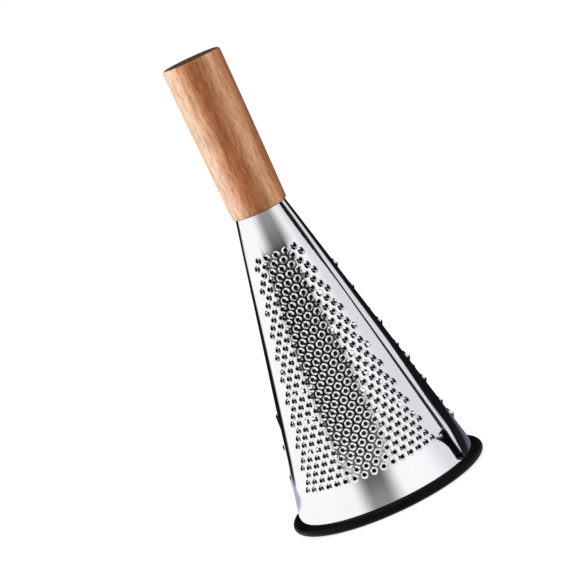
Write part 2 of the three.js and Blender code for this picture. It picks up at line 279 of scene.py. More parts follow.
floor_paint = bpy.data.materials.new("floor_paint")
floor_paint.use_nodes = True
paint = floor_paint.node_tree
paint.nodes.clear()
place = add(paint, "ShaderNodeTexCoord").outputs["Object"]
place = add(
    paint, "ShaderNodeVectorRotate", {"Vector": place, "Angle": -STUDIO_TURN}, rotation_type="Z_AXIS"
).outputs[0]
spot = add(paint, "ShaderNodeSeparateXYZ", {0: place}).outputs
from_axis = add(paint, "ShaderNodeVectorMath", {0: place}, operation="LENGTH").outputs["Value"]
to_right = between(paint, spot["X"], -0.05, 0.05)
behind = maths(paint, "DIVIDE", spot["Y"], from_axis)
far = between(paint, spot["Y"], 0.14, 0.20)
right_edge = between(paint, from_axis, 0.50, 0.85, 0.34, 0.54)
edge_change = maths(paint, "SUBTRACT", right_edge, LEFT_EDGE)
edge = maths(paint, "MULTIPLY_ADD", to_right, edge_change, LEFT_EDGE)
past = between(paint, maths(paint, "SUBTRACT", behind, edge), -0.03, 0.05)
straight_back = maths(paint, "MULTIPLY_ADD", to_right, -1.0, behind)
back_start = between(paint, from_axis, 0.22, 0.45, 0.86, 0.955)
straight_back = maths(paint, "SUBTRACT", straight_back, back_start)
past = maths(paint, "MULTIPLY", past, between(paint, straight_back, 0.0, 0.03, 1.0, 0.0))
dark = maths(paint, "MULTIPLY", far, past)
close_edge = maths(paint, "MULTIPLY_ADD", to_right, -0.36, 0.64)
close = between(paint, maths(paint, "SUBTRACT", behind, close_edge), -0.04, 0.04)
close = maths(paint, "MULTIPLY", close, maths(paint, "SUBTRACT", 1.0, far))
close = maths(paint, "MAXIMUM", close, past)
violet = blend(paint, between(paint, spot["X"], 0.07, 0.14), VIOLET, DEEP_VIOLET)
close_colour = blend(paint, to_right, LILAC, violet)
# Painted reflection: the floor glows with this pattern of lit and dark floor, and only mirrored rays see
# it.
mirrored = blend(paint, close, blend(paint, to_right, LEFT_WALL, RIGHT_WALL), close_colour)
print("floor nodes:", len(paint.nodes))

# %% [markdown]
# Ahead of the grater the lower slopes of the teeth look down on the floor. It is dark where the gap is
# and grey to both sides of that, which gives the teeth near the edges of the field their dark slopes.
# The floor inside the ring shows only through the holes and is painted nearly black there, a painted
# shade under the cone.

# %% The floor ahead, as the steel sees it
SIDE_GREY = 0.6
FLOOR_BLACK = (0.008, 0.008, 0.01, 1.0)
SHADE_UNDER_CONE = (0.07, 0.07, 0.07, 1.0)

ahead = maths(paint, "MULTIPLY", spot["Y"], -1.0)
sideways = maths(paint, "ABSOLUTE", spot["X"])
aside = maths(paint, "DIVIDE", sideways, maths(paint, "MAXIMUM", ahead, 0.001))
in_gap = between(paint, aside, 0.6, 0.85, 1.0, 0.0)
in_gap = maths(paint, "MULTIPLY", in_gap, between(paint, ahead, 0.085, 0.12))
beside_gap = between(paint, sideways, 0.08, 0.11, 0.0, SIDE_GREY)
beside_gap = maths(paint, "MULTIPLY", beside_gap, between(paint, ahead, 0.03, 0.06))
dark = maths(paint, "MAXIMUM", maths(paint, "MAXIMUM", dark, in_gap), beside_gap)
# Painted reflection: the floor ahead is dark only for mirrored rays, which darkens the lower slopes of
# the teeth.
mirrored = blend(paint, dark, mirrored, FLOOR_BLACK)
# Painted shade: the floor under the cone is dark for mirrored rays.
painted_shade_under_cone = between(paint, from_axis, 0.046, 0.05, 1.0, 0.0)
mirrored = blend(paint, painted_shade_under_cone, mirrored, SHADE_UNDER_CONE)
print("floor nodes:", len(paint.nodes))

# %% [markdown]
# To the camera the floor is white and still takes the grater's shadow: most of its white is its own,
# and a part of it is lit. Mirrored rays see the pattern. From below the floor is clear, so that a view
# from there shows the underside of the ring and the inside of the cone.

# %% The floor's paint
OWN_WHITE = 0.78
LIT_WHITE = (0.42, 0.42, 0.42, 1.0)


def mixed(share, first, second):
    shaders = {0: share, 1: first.outputs[0], 2: second.outputs[0]}
    return add(paint, "ShaderNodeMixShader", shaders)


floor_rays = add(paint, "ShaderNodeLightPath").outputs
matt = add(paint, "ShaderNodeBsdfDiffuse", {"Color": LIT_WHITE})
own = add(paint, "ShaderNodeEmission", {"Color": WHITE, "Strength": OWN_WHITE})
white = add(paint, "ShaderNodeAddShader", {0: matt.outputs[0], 1: own.outputs[0]})
glint = add(paint, "ShaderNodeEmission", {"Color": mirrored, "Strength": 1.0})
clear = add(paint, "ShaderNodeBsdfTransparent")
seen = maths(paint, "MAXIMUM", floor_rays["Is Camera Ray"], floor_rays["Is Transmission Ray"])
from_below = add(paint, "ShaderNodeNewGeometry").outputs["Backfacing"]
final = mixed(floor_rays["Is Glossy Ray"], mixed(seen, matt, white), glint)
final = mixed(from_below, final, clear)
add(paint, "ShaderNodeOutputMaterial", {"Surface": final.outputs[0]})
floor_mesh.materials.append(floor_paint)
print("floor finish:", floor_paint.name, "nodes:", len(paint.nodes))

# %% [markdown]
# Two large soft lamps light the wood and the rubber, the left one stronger. They are left out of the
# reflections, because the tent already stands in their place there. One lamp from the front would be
# simpler, but it would light both sides of the round handle alike.

# %% The lamps
LAMP_SIZE = 0.8
LAMP_AIM = Vector((0.0, 0.0, 0.13))


def soft_lamp(name, place, power):
    lamp_data = bpy.data.lights.new(name, "AREA")
    lamp_data.energy = power
    lamp_data.size = LAMP_SIZE
    lamp = bpy.data.objects.new(name, lamp_data)
    aim = LAMP_AIM - Vector(place)
    lamp.matrix_world = Matrix.Translation(place) @ aim.to_track_quat("-Z", "Y").to_matrix().to_4x4()
    lamp.visible_glossy = False
    lamp.visible_camera = False
    bpy.context.scene.collection.objects.link(lamp)
    print(name, "power in watts:", power)


soft_lamp("lamp_left", place=(-1.0, -0.6, 0.5), power=8.0)
soft_lamp("lamp_right", place=(1.05, -0.55, 0.45), power=2.5)

# %% [markdown]
# Streaks along the length show on three of the finishes: the grain of the wood, the faint polishing
# marks of the sheet and the drawing marks of the zinc. They are one node group, a noise that is
# squeezed across the length, and each material sets its own scale.

# %% Streaks for several finishes
streak_group = bpy.data.node_groups.new("streaks", "ShaderNodeTree")
streak_group.interface.new_socket("Vector", in_out="INPUT", socket_type="NodeSocketVector")
for name in ("Across", "Along"):
    streak_group.interface.new_socket(name, in_out="INPUT", socket_type="NodeSocketFloat")
streak_group.interface.new_socket("Streak", in_out="OUTPUT", socket_type="NodeSocketFloat")
given = add(streak_group, "NodeGroupInput").outputs
across, along = given["Across"], given["Along"]
stretch = add(streak_group, "ShaderNodeCombineXYZ", {"X": across, "Y": across, "Z": along}).outputs[0]
drawn = add(
    streak_group, "ShaderNodeVectorMath", {0: given["Vector"], 1: stretch}, operation="MULTIPLY"
).outputs[0]
noise = add(
    streak_group, "ShaderNodeTexNoise", {"Vector": drawn, "Scale": 1.0, "Detail": 4.0, "Roughness": 0.6}
)
add(streak_group, "NodeGroupOutput", {"Streak": noise.outputs["Fac"]})


def streaks(tree, vector, across, along):
    node = add(tree, "ShaderNodeGroup", node_tree=streak_group)
    tree.links.new(vector, node.inputs["Vector"])
    node.inputs["Across"].default_value = across
    node.inputs["Along"].default_value = along
    return node.outputs["Streak"]


print("group:", streak_group.name)

# %% [markdown]
# Each finish is one material with one Principled shader. It reads the piece's Object coordinates, so a
# pattern stays on the piece wherever it is used. Two helpers start such a material and give it a fine
# relief.

# %% Helpers for finishes
RELIEF_DEPTH = 0.1 * MM


def new_finish(name):
    finish = bpy.data.materials.new(name)
    finish.use_nodes = True
    tree = finish.node_tree
    tree.nodes.clear()
    skin = add(tree, "ShaderNodeBsdfPrincipled")
    add(tree, "ShaderNodeOutputMaterial", {"Surface": skin.outputs[0]})
    return finish, tree, skin, add(tree, "ShaderNodeTexCoord").outputs["Object"]


def relief(tree, skin, height, strength):
    inputs = {"Height": height, "Strength": strength, "Distance": RELIEF_DEPTH}
    tree.links.new(add(tree, "ShaderNodeBump", inputs).outputs[0], skin.inputs["Normal"])


print("finishes start from one shader each")

# %% [markdown]
# The sheet is polished like a mirror. What keeps it from looking like a computed mirror is small:
# polishing marks that make the gloss a little uneven, and a breath of cloudiness. Only the outer side is
# polished. The inner side is rough like the mill's steel, and its colour is a dark grey of painted shade
# for the inside of the cone, which makes the holes dark. An attribute of the mesh says which points lie
# inside.

# %% Polished steel
steel, tree, skin, at = new_finish("mirror_steel")
polish = streaks(tree, at, across=900.0, along=60.0)
cloud = add(tree, "ShaderNodeTexNoise", {"Vector": at, "Scale": 45.0, "Detail": 3.0}).outputs["Fac"]
inside = add(tree, "ShaderNodeAttribute", attribute_name="inside").outputs["Fac"]
steel_tone = ramp(tree, cloud, [(0.3, (0.86, 0.86, 0.868)), (0.7, (0.90, 0.90, 0.908))])
# Painted shade: the inside of the cone gets a dark grey, darker than bare mill steel.
inner_grey_and_painted_shade = ramp(tree, cloud, [(0.3, (0.22, 0.22, 0.225)), (0.7, (0.28, 0.28, 0.285))])
tree.links.new(blend(tree, inside, steel_tone, inner_grey_and_painted_shade), skin.inputs["Base Color"])
gloss = between(tree, polish, 0.3, 0.7, 0.03, 0.06)
tree.links.new(maths(tree, "MULTIPLY_ADD", inside, 0.35, gloss), skin.inputs["Roughness"])
skin.inputs["Metallic"].default_value = 1.0
relief(tree, skin, polish, strength=0.02)
print("finish:", steel.name)

# %% [markdown]
# The ring is soft black rubber with the fine grain of its mould. It is nearly black, and its shape
# shows only by a wide, dull sheen. A fine noise gives the grain as relief, because modelling it would
# take far more points than the rest of the ring.

# %% Black rubber
rubber, tree, skin, at = new_finish("black_rubber")
grain = add(tree, "ShaderNodeTexNoise", {"Vector": at, "Scale": 2600.0, "Detail": 2.0}).outputs["Fac"]
patch = add(tree, "ShaderNodeTexNoise", {"Vector": at, "Scale": 60.0, "Detail": 2.0}).outputs["Fac"]
rubber_tone = ramp(tree, patch, [(0.35, (0.003, 0.003, 0.0035)), (0.7, (0.006, 0.006, 0.007))])
tree.links.new(rubber_tone, skin.inputs["Base Color"])
tree.links.new(between(tree, patch, 0.3, 0.7, 0.38, 0.50), skin.inputs["Roughness"])
relief(tree, skin, grain, strength=0.15)
skin.inputs["Specular IOR Level"].default_value = 0.06
print("finish:", rubber.name)

# %% [markdown]
# The plate is steel like the cone, but the screw and its washer are zinc plated: a duller, bluish
# grey with drawing marks. An even grey could do for pieces that hardly show, but the streaks are there
# already.

# %% Zinc plate
zinc, tree, skin, at = new_finish("zinc_plate")
drawn_marks = streaks(tree, at, across=1500.0, along=300.0)
zinc_tone = ramp(tree, drawn_marks, [(0.3, (0.52, 0.53, 0.55)), (0.7, (0.66, 0.67, 0.68))])
tree.links.new(zinc_tone, skin.inputs["Base Color"])
tree.links.new(between(tree, drawn_marks, 0.3, 0.7, 0.28, 0.42), skin.inputs["Roughness"])
skin.inputs["Metallic"].default_value = 1.0
relief(tree, skin, drawn_marks, strength=0.08)
print("finish:", zinc.name)

# %% [markdown]
# The handle is a light, reddish hardwood, oiled. Its colour is laid on as long stripes across the
# handle, and these are mostly painted light and shade: a peach painted highlight on the left, where the
# stronger lamp falls, a brown band of painted shade in the middle, which faces the camera, tan beside it
# where the right lamp falls and a red brown of painted shade at the right edge. The wood's own reddish
# colour runs through all of them. The layers could be rings round a distant pith. One coordinate across
# the handle that wanders a little along the length, as grain does, carries the stripes and is easy to
# steer.

# %% Wood, the stripes of painted light and shade
# The turn sets the stripes of painted light and shade square to the camera.
STRIPE_TURN = math.radians(7.4)
STRIPE_SPAN = (-18.0, 18.0)
WANDER = 6.0

wood, tree, skin, at = new_finish("oiled_wood")
at_mm = add(tree, "ShaderNodeVectorMath", {0: at, 1: (1 / MM,) * 3}, operation="MULTIPLY").outputs[0]
grain_at = add(
    tree, "ShaderNodeVectorRotate", {"Vector": at_mm, "Angle": -STRIPE_TURN}, rotation_type="Z_AXIS"
).outputs[0]
grain_axes = add(tree, "ShaderNodeSeparateXYZ", {0: grain_at}).outputs
drift = streaks(tree, grain_at, across=0.3, along=0.03)
wander = maths(tree, "MULTIPLY_ADD", drift, WANDER, -WANDER / 2)
across_handle = maths(tree, "ADD", grain_axes["X"], wander)
across_share = between(tree, across_handle, *STRIPE_SPAN, curve="LINEAR")


def stripe_stop(millimetres, colour):
    low, high = STRIPE_SPAN
    return ((millimetres - low) / (high - low), colour)


# Painted light and shade over the wood's own colour: peach highlight on the left, brown shade in the
# middle, tan where the right lamp falls, red brown shade at the right edge.
wood_and_painted_light = ramp(tree, across_share, [
    stripe_stop(-13.2, (0.96, 0.70, 0.53)),
    stripe_stop(-10.2, (0.94, 0.60, 0.42)),
    stripe_stop(-7.1, (0.74, 0.39, 0.23)),
    stripe_stop(-4.1, (0.52, 0.205, 0.092)),
    stripe_stop(-1.0, (0.44, 0.152, 0.057)),
    stripe_stop(2.0, (0.47, 0.185, 0.079)),
    stripe_stop(5.1, (0.64, 0.305, 0.157)),
    stripe_stop(8.1, (0.93, 0.515, 0.290)),
    stripe_stop(11.2, (0.84, 0.420, 0.228)),
    stripe_stop(14.0, (0.53, 0.185, 0.066)),
])
print("wood nodes:", len(tree.nodes))

# %% [markdown]
# Fine and broad streaks and short flecks run along the stripes and make them darker or lighter. The
# pores are short dark strokes, most of them in the middle band of painted shade. All of them are the one
# group of streaks at other scales, so they follow the same grain.

# %% Wood, streaks and pores
NO_CHANGE = (1.0, 1.0, 1.0)
PORE = (0.12, 0.045, 0.02, 1.0)

fine = streaks(tree, grain_at, across=1.7, along=0.14)
broad = streaks(tree, grain_at, across=0.5, along=0.10)
flecks = streaks(tree, grain_at, across=1.5, along=0.28)
tone = wood_and_painted_light
for streak, dark_stop, light_stop in (
    (fine, (0.32, (0.78, 0.69, 0.61)), (0.68, (1.12, 1.10, 1.06))),
    (broad, (0.32, (0.76, 0.66, 0.57)), (0.7, (1.12, 1.10, 1.06))),
    (flecks, (0.34, (0.84, 0.76, 0.69)), (0.66, (1.08, 1.07, 1.05))),
):
    streak_tone = ramp(tree, streak, [dark_stop, (0.5, NO_CHANGE), light_stop])
    tone = blend(tree, 1.0, tone, streak_tone, "MULTIPLY")
pores = streaks(tree, grain_at, across=2.2, along=0.32)
pore_mask = between(tree, pores, 0.61, 0.69)
off_middle = maths(tree, "ABSOLUTE", across_handle)
pore_shade = maths(tree, "MULTIPLY", pore_mask, between(tree, off_middle, 4.0, 9.0, 0.75, 0.1))
tone = blend(tree, pore_shade, tone, PORE)
print("wood nodes:", len(tree.nodes))

# %% [markdown]
# The end face shows the grain as stripes across it and is painted much darker: partly because end grain
# drinks more oil, and partly as painted shade on the top face, which the side lamps light little. The
# height on the handle tells where it is. The oil leaves a dull gloss, a little uneven along the streaks.

# %% Wood, the end face and the gloss
HANDLE_TOP_Z = 243.0
# End grain colour darkened further by painted shade of the top face.
END_DARK = (0.085, 0.058, 0.042)
END_LIGHT = (0.15, 0.098, 0.066)
END_LAYERS = 2.4

rings = maths(tree, "SINE", maths(tree, "MULTIPLY", across_handle, END_LAYERS))
end_grain_and_painted_shade = ramp(tree, maths(tree, "MULTIPLY_ADD", rings, 0.5, 0.5), [(0.2, END_DARK), (0.9, END_LIGHT)])
on_end = between(tree, grain_axes["Z"], HANDLE_TOP_Z - 0.15, HANDLE_TOP_Z - 0.02)
tree.links.new(blend(tree, on_end, tone, end_grain_and_painted_shade), skin.inputs["Base Color"])
tree.links.new(between(tree, fine, 0.3, 0.7, 0.52, 0.42), skin.inputs["Roughness"])
furrows = maths(tree, "MULTIPLY_ADD", pore_shade, -0.8, fine)
relief(tree, skin, furrows, strength=0.12)
skin.inputs["Specular IOR Level"].default_value = 0.27
print("finish:", wood.name)

# %% [markdown]
# All pieces are modelled in millimetres. One helper picks the points, edges or faces out of what an
# operator gives back. Another scales a mesh to metres, smooths its shading up to a given angle, gives
# it its finish and says which solid it stands for.

# %% Helpers for the pieces
SHARP = math.radians(38)
SAME = 1e-4
POINT, EDGE, FACE = bmesh.types.BMVert, bmesh.types.BMEdge, bmesh.types.BMFace


def only(kind, geometry):
    return [g for g in geometry if isinstance(g, kind)]


def finish_piece(bm, node, finish):
    bmesh.ops.scale(bm, vec=(MM,) * 3, verts=bm.verts)
    mesh = bpy.data.meshes.new(node + "_shape")
    bm.to_mesh(mesh)
    bm.free()
    mesh.polygons.foreach_set("use_smooth", [True] * len(mesh.polygons))
    mesh.set_sharp_from_angle(angle=SHARP)
    mesh.materials.append(finish)
    piece = bpy.data.objects.new(node + "_shape", mesh)
    bpy.context.scene.collection.objects.link(piece)
    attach(piece, "root")
    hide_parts(node)
    print(piece.name, "faces:", len(mesh.polygons))
    return piece


print("helpers for the pieces ready")

# %% [markdown]
# The cone is one sheet. On the real grater it is cut flat as a sector, punched flat and then rolled, so
# it is made the same way here: a flat blank, teeth set into it, a wall thickness, and at the end one
# bend that rolls every point onto the cone. Round holes stay round that way, and the pitch stays the
# same from the foot to the top. Modelling each tooth on the finished cone would need a turned tool for
# every one.

# %% The flat blank
CONE_TOP_Z, CONE_FOOT_Z = 159.8, 2.3
CONE_TOP_RADIUS, CONE_FOOT_RADIUS = 27.7 / 2, 98.4 / 2
SHEET = 0.6
SLOPE = math.atan((CONE_FOOT_RADIUS - CONE_TOP_RADIUS) / (CONE_TOP_Z - CONE_FOOT_Z))
BEND = math.sin(SLOPE)
APEX_Z = CONE_TOP_Z + CONE_TOP_RADIUS / math.tan(SLOPE)
LAP_EDGE = math.radians(66.0)
LAP_END = math.radians(360.0 + 72.6)
LAP_START = math.radians(360.0 + 50.0)
BLANK_MIDDLE = (LAP_EDGE + LAP_END) / 2


def cone_radius(z):
    return (APEX_Z - z) * math.tan(SLOPE)


def flat_place(azimuth, z):
    """The matrix that lays a tool on the blank, its Y axis pointing to the handle."""
    reach = (APEX_Z - z) / math.cos(SLOPE)
    turn = (azimuth - BLANK_MIDDLE) * BEND
    return Matrix.Rotation(turn, 4, "Z") @ Matrix.Translation((0.0, -reach, 0.0))


FOOT_ROWS, ROWS, FOOT_BAND = 20, 40, 22.0
COLUMNS, LAP_COLUMNS = 150, 40
sheet = bmesh.new()
sheet.verts.layers.float.new("inside")
levels = [CONE_FOOT_Z + FOOT_BAND * row / FOOT_ROWS for row in range(FOOT_ROWS)]
levels += [
    CONE_FOOT_Z + FOOT_BAND + (CONE_TOP_Z - CONE_FOOT_Z - FOOT_BAND) * row / ROWS
    for row in range(ROWS + 1)
]
column = [sheet.verts.new(flat_place(LAP_EDGE, z).translation) for z in levels]
strip = [sheet.edges.new(pair) for pair in zip(column, column[1:])]
geometry = column + strip
for start, end, steps in ((LAP_EDGE, LAP_START, COLUMNS), (LAP_START, LAP_END, LAP_COLUMNS)):
    made = bmesh.ops.spin(
        sheet, geom=geometry, cent=(0, 0, 0), axis=(0, 0, 1), angle=(end - start) * BEND, steps=steps
    )
    geometry = made["geom_last"]
sheet.normal_update()
bmesh.ops.reverse_faces(sheet, faces=[f for f in sheet.faces if f.normal.z < 0])
print("blank faces:", len(sheet.faces))

# %% [markdown]
# The teeth stand in staggered rows. The fine field has 32 rows 3.71 mm apart and a pitch of 5.2 mm, the
# coarse field has larger scoops, and the slicing field has wide slots. A spread is in degrees to each
# side of the field's middle, and a margin is left free at the top or the foot of the cone. A field is a
# little narrower at the top than at the foot, so each row holds as many teeth as fit.

# %% Where the tools strike
def field(middle, top_spread, foot_spread, top_margin, foot_margin, row_step, pitch):
    rows = []
    top, foot = CONE_TOP_Z - top_margin, CONE_FOOT_Z + foot_margin
    wide = math.radians(foot_spread) * cone_radius(foot)
    narrow = math.radians(top_spread) * cone_radius(top)
    for k in range(int((top - foot) / row_step) + 1):
        z = foot + k * row_step
        half = wide + (narrow - wide) * (z - foot) / (top - foot)
        rows.append((math.radians(middle), z, half, k % 2, pitch))
    return rows


def staggered(rows):
    places = []
    for middle, z, half, odd, pitch in rows:
        shift = 0.0 if odd else 0.5
        first = math.ceil(-half / pitch - shift)
        last = math.floor(half / pitch - shift)
        places += [(middle + (i + shift) * pitch / cone_radius(z), z) for i in range(first, last + 1)]
    return places


FINE_REACH, COARSE_REACH = 2.08, 3.6
fine_rows = field(
    middle=360.0, top_spread=37.8, foot_spread=50.4, top_margin=21.6, foot_margin=20.8,
    row_step=3.71, pitch=5.2,
)
coarse_rows = field(
    middle=140.0, top_spread=24.0, foot_spread=38.5, top_margin=23.0, foot_margin=20.2,
    row_step=7.38, pitch=11.4,
)
fine_places, coarse_places = staggered(fine_rows), staggered(coarse_rows)
print("fine teeth:", len(fine_places), "coarse teeth:", len(coarse_places))

# %% [markdown]
# The slots lie in rows across the left side, one above the other, with as many in a row as fit. They
# aren't staggered, so their places have a loop of their own.

# %% Where the slicing slots go
SLOT_WIDTH, SLOT_GAP, SLOT_RAMP, SLOT_MOUTH, SLOT_LIFT = 22.0, 5.0, 7.0, 3.0, 1.1
slot_rows = field(
    middle=246.0, top_spread=36.0, foot_spread=42.0, top_margin=30.0, foot_margin=24.4,
    row_step=16.1, pitch=SLOT_WIDTH + SLOT_GAP,
)
slot_places = []
for middle, z, half, _, pitch in slot_rows:
    count = max(1, int((2 * half + SLOT_GAP) / pitch))
    first = -(count - 1) / 2
    slot_places += [(middle + (first + i) * pitch / cone_radius(z), z) for i in range(count)]
print("slots:", len(slot_places))

# %% [markdown]
# Each tool needs a window in the blank. The faces of the blank that a tooth would touch are deleted,
# and later the rest of the window is filled round the tooth.

# %% Open windows for the tools
MARGIN, SLOT_MARGIN = 0.5, 1.0


def touched(face, centres, reach):
    points = [face.calc_center_median(), *(v.co for v in face.verts)]
    points += [(e.verts[0].co + e.verts[1].co) / 2 for e in face.edges]
    return any(centres.find(p)[2] < reach + MARGIN for p in points)


def open_windows(places, reach):
    centres = KDTree(len(places))
    for i, (azimuth, z) in enumerate(places):
        centres.insert(flat_place(azimuth, z).translation, i)
    centres.balance()
    gone = [f for f in sheet.faces if touched(f, centres, reach)]
    bmesh.ops.delete(sheet, geom=gone, context="FACES")
    return len(gone)


opened = open_windows(fine_places, FINE_REACH) + open_windows(coarse_places, COARSE_REACH)
for azimuth, z in slot_places:
    tool = flat_place(azimuth, z).inverted()
    half = SLOT_WIDTH / 2 + MARGIN + SLOT_MARGIN
    gone = []
    for f in sheet.faces:
        at_tool = [tool @ v.co for v in f.verts]
        beside = min(p.x for p in at_tool) > half or max(p.x for p in at_tool) < -half
        above = min(p.y for p in at_tool) > SLOT_MOUTH + SLOT_MARGIN
        below = max(p.y for p in at_tool) < -SLOT_RAMP - SLOT_MARGIN
        if not (beside or above or below):
            gone.append(f)
    bmesh.ops.delete(sheet, geom=gone, context="FACES")
    opened += len(gone)
print("faces opened:", opened)

# %% [markdown]
# A tooth is a small dome that a pin has pushed out and pierced. One is modelled as a die: a circle
# whose edge is extruded ring by ring, up the dome to the torn rim, down through the hole and out again
# under the sheet. The hole sits a little towards the handle, where the cutting edge meets the food.
# The rings are few, for the die is stamped hundreds of times.

# %% The tooth dies
def tooth_die(rings, sides, lip):
    """rings: radius, height, shift towards the handle and tilt of each, from above to below the sheet.
    lip: how many of them lie on the polished side."""
    die = bmesh.new()
    inner = die.verts.layers.float.new("inside")
    made = bmesh.ops.create_circle(die, cap_ends=False, radius=1.0, segments=sides)
    loops = [made["verts"]]
    edges = list({e for v in made["verts"] for e in v.link_edges})
    around = {v: v.co.copy() for v in made["verts"]}
    for _ in rings[1:]:
        made = bmesh.ops.extrude_edge_only(die, edges=edges)
        loops.append(only(POINT, made["geom"]))
        edges = only(EDGE, made["geom"])
        around.update({v: v.co.copy() for v in loops[-1]})
    for k, (verts, (radius, height, shift, tilt)) in enumerate(zip(loops, rings)):
        for v in verts:
            way = around[v]
            v.co = (way.x * radius, way.y * radius + shift, height - tilt * way.y)
            v[inner] = 0.0 if k < lip else 1.0
    mesh = bpy.data.meshes.new("die")
    die.to_mesh(mesh)
    die.free()
    return mesh


fine_die = tooth_die([
    (FINE_REACH, 0.0, 0.0, 0.0),
    (1.93, 0.11, 0.0, 0.0),
    (1.17, 0.80, 0.12, 0.05),
    (1.09, 0.83, 0.14, 0.05),
    (1.00, 0.80, 0.16, 0.05),
    (FINE_REACH, -SHEET, 0.0, 0.0),
], sides=14, lip=4)
coarse_die = tooth_die([
    (COARSE_REACH, 0.0, 0.0, 0.0),
    (3.2, 0.20, 0.06, 0.05),
    (2.75, 0.62, 0.3, 0.25),
    (2.35, 0.96, 0.6, 0.50),
    (2.10, 1.08, 0.8, 0.62),
    (2.00, 0.92, 0.8, 0.60),
    (2.40, 0.10, 0.5, 0.35),
    (COARSE_REACH, -SHEET, 0.0, 0.0),
], sides=14, lip=6)
print("faces in a fine die:", len(fine_die.polygons), "in a coarse die:", len(coarse_die.polygons))

# %% [markdown]
# A slicing slot is a blade: the sheet rises in an arch towards the handle and ends in a sharp edge, and
# a lens-shaped mouth lies open above the edge. The rising part is a grid that is arched, and the upper
# side of the mouth is a row of edges that the filling will follow.

# %% The slot die
SLOT_COLUMNS, SLOT_ROWS = 14, 5
BROW_CURVE = 0.6


def slot_die():
    die = bmesh.new()
    inner = die.verts.layers.float.new("inside")
    bmesh.ops.create_grid(die, x_segments=SLOT_COLUMNS, y_segments=SLOT_ROWS, size=0.5)
    blade = []
    for v in die.verts:
        share = v.co.y + 0.5
        arch = math.cos(math.pi * v.co.x)
        if share > 1 - SAME:
            blade.append(v)
        rise = SLOT_LIFT * max(0.0, arch) * share * share * (3 - 2 * share)
        v.co = (v.co.x * SLOT_WIDTH, (share - 1.0) * SLOT_RAMP, rise)
    blade.sort(key=lambda v: v.co.x)
    brow = [blade[0]]
    for v in blade[1:-1]:
        arch = math.cos(math.pi * v.co.x / SLOT_WIDTH)
        brow.append(die.verts.new((v.co.x, SLOT_MOUTH * arch ** BROW_CURVE, 0.0)))
    brow.append(blade[-1])
    for pair in zip(brow, brow[1:]):
        die.edges.new(pair)
    for v in (blade[0], blade[-1]):
        v.co.z = 0.0
    edge = [die.edges.get(pair) for pair in zip(blade, blade[1:])]
    made = bmesh.ops.extrude_edge_only(die, edges=edge)
    bmesh.ops.translate(die, vec=(0, 0, -SHEET), verts=only(POINT, made["geom"]))
    ramp_faces = [f for f in die.faces if f.normal.z > 0.5]
    made = bmesh.ops.duplicate(die, geom=ramp_faces)
    under = only(POINT, made["geom"])
    bmesh.ops.translate(die, vec=(0, 0, -SHEET), verts=under)
    for v in under:
        v[inner] = 1.0
    bmesh.ops.reverse_faces(die, faces=only(FACE, made["geom"]))
    bmesh.ops.remove_doubles(die, verts=die.verts, dist=SAME)
    mesh = bpy.data.meshes.new("slot_die")
    die.to_mesh(mesh)
    die.free()
    return mesh


blade_die = slot_die()
print("faces in a slot die:", len(blade_die.polygons))

# %% [markdown]
# The press sets one tool after the other, and so does this step: each die is copied to all its places
# on the blank.

# %% Stamp the teeth and the slots
def stamp(die, places):
    for azimuth, z in places:
        struck = die.copy()
        struck.transform(flat_place(azimuth, z))
        sheet.from_mesh(struck)
        bpy.data.meshes.remove(struck)


stamp(fine_die, fine_places)
stamp(coarse_die, coarse_places)
stamp(blade_die, slot_places)
print("faces after stamping:", len(sheet.faces))

# %% [markdown]
# Between a tooth and the border of its window the sheet is still open. Bridging each window to its
# tooth would need as many loops as there are teeth. One filling between all borders that lie flat closes
# the windows at once and stops at the feet of the teeth. The slots keep their mouths. The outer edges of
# the blank are no windows, so they are left out.

# %% Fill the windows round the teeth
FLAT = 1e-5
OFF_EDGE, OFF_EDGE_TURN = 1.0, 0.001
inner_reach = (APEX_Z - CONE_TOP_Z) / math.cos(SLOPE) + OFF_EDGE
outer_reach = (APEX_Z - CONE_FOOT_Z) / math.cos(SLOPE) - OFF_EDGE
half_turn = (LAP_END - LAP_EDGE) / 2 * BEND - OFF_EDGE_TURN


def on_window(edge):
    if len(edge.link_faces) > 1 or any(abs(v.co.z) > FLAT for v in edge.verts):
        return False
    middle = (edge.verts[0].co + edge.verts[1].co) / 2
    turn = abs(math.atan2(middle.x, -middle.y))
    return inner_reach < middle.length < outer_reach and turn < half_turn


# The filling stumbles where many points lie in one line across it, so the blank is laid askew for it
ASKEW = math.radians(31.0)
borders = [e for e in sheet.edges if on_window(e)]
bmesh.ops.rotate(sheet, cent=(0, 0, 0), matrix=Matrix.Rotation(ASKEW, 3, "Z"), verts=sheet.verts)
filled = bmesh.ops.triangle_fill(
    sheet, use_beauty=True, use_dissolve=False, edges=borders, normal=(0, 0, 1)
)
bmesh.ops.rotate(sheet, cent=(0, 0, 0), matrix=Matrix.Rotation(-ASKEW, 3, "Z"), verts=sheet.verts)
filling = only(FACE, filled["geom"])
sheet.normal_update()
bmesh.ops.reverse_faces(sheet, faces=[f for f in filling if f.normal.z < 0])
print("border edges:", len(borders), "faces of the filling:", len(filling))
mouths = [e for e in borders if len(e.link_faces) != 2]
print("edges left at the mouths of the slots:", len(mouths), "of", SLOT_COLUMNS * len(slot_places))

# %% [markdown]
# The plain surface is still a skin without a wall, while the teeth already reach through the sheet. The
# free borders are extruded down by the thickness of the sheet, a copy of the plain faces is laid
# below and turned over, and the doubled points are merged. It is done while the blank is flat,
# because the offset is exact there.

# %% The thickness of the sheet
DOWN = (0.0, 0.0, -SHEET)


def lies_flat(element):
    return all(abs(v.co.z) < FLAT for v in element.verts)


